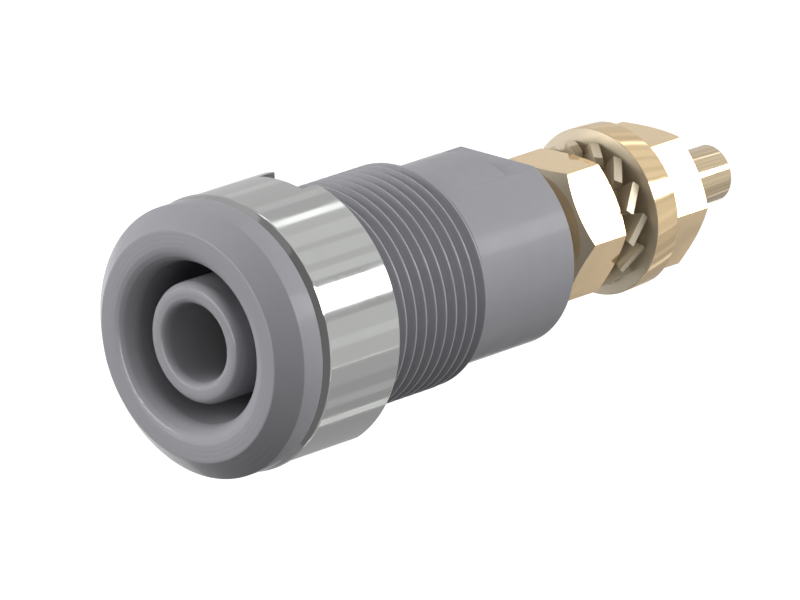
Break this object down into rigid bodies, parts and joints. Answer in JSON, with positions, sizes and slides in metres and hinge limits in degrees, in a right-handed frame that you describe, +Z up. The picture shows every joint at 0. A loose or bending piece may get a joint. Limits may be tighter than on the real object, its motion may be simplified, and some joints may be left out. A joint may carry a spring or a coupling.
{
  "type": "safety banana socket",
  "caption": "Shrouded 4 mm panel socket with a threaded moulded housing, slotted ring nut and an M4 stud with nuts and washers for a cable lug.",
  "frame": {"origin": "on the socket's axis, in the flange's rear face, which seats on the panel", "axes": "+Y along the socket's axis from the plug side to the cable side, +Z up through the middle of a barrel flat"},
  "size_m": [0.0144, 0.0401, 0.0144],
  "materials": {
    "grey_plastic": "satin moulded grey polyamide",
    "nickel_plated_brass": "turned, bright nickel plated",
    "gold_plated_brass": "turned, pale gold plated"
  },
  "bodies": {
    "socket_body": {"housing": "grey_plastic", "contact": "gold_plated_brass", "inner_nut": "gold_plated_brass"},
    "ring_nut": {"ring_nut": "nickel_plated_brass"},
    "washers": {"lock_washer": "gold_plated_brass", "flat_washer": "gold_plated_brass"},
    "outer_nut": {"outer_nut": "gold_plated_brass"}
  },
  "joints": [
    {"name": "ring_nut_travel", "type": "slide", "parent": "socket_body", "child": "ring_nut", "axis": [0, 1, 0], "range_m": [0, 0.0128]},
    {"name": "washers_travel", "type": "slide", "parent": "socket_body", "child": "washers", "axis": [0, 1, 0], "range_m": [0, 0.0031]},
    {"name": "outer_nut_spin", "type": "hinge", "parent": "washers", "child": "outer_nut", "pos_m": [0, 0.03, 0], "axis": [0, 1, 0], "range_deg": [0, 1595]}
  ],
  "couplings": [
    {"joint": "outer_nut_spin", "follows": "washers_travel", "rad_per_m": 8976}
  ]
}
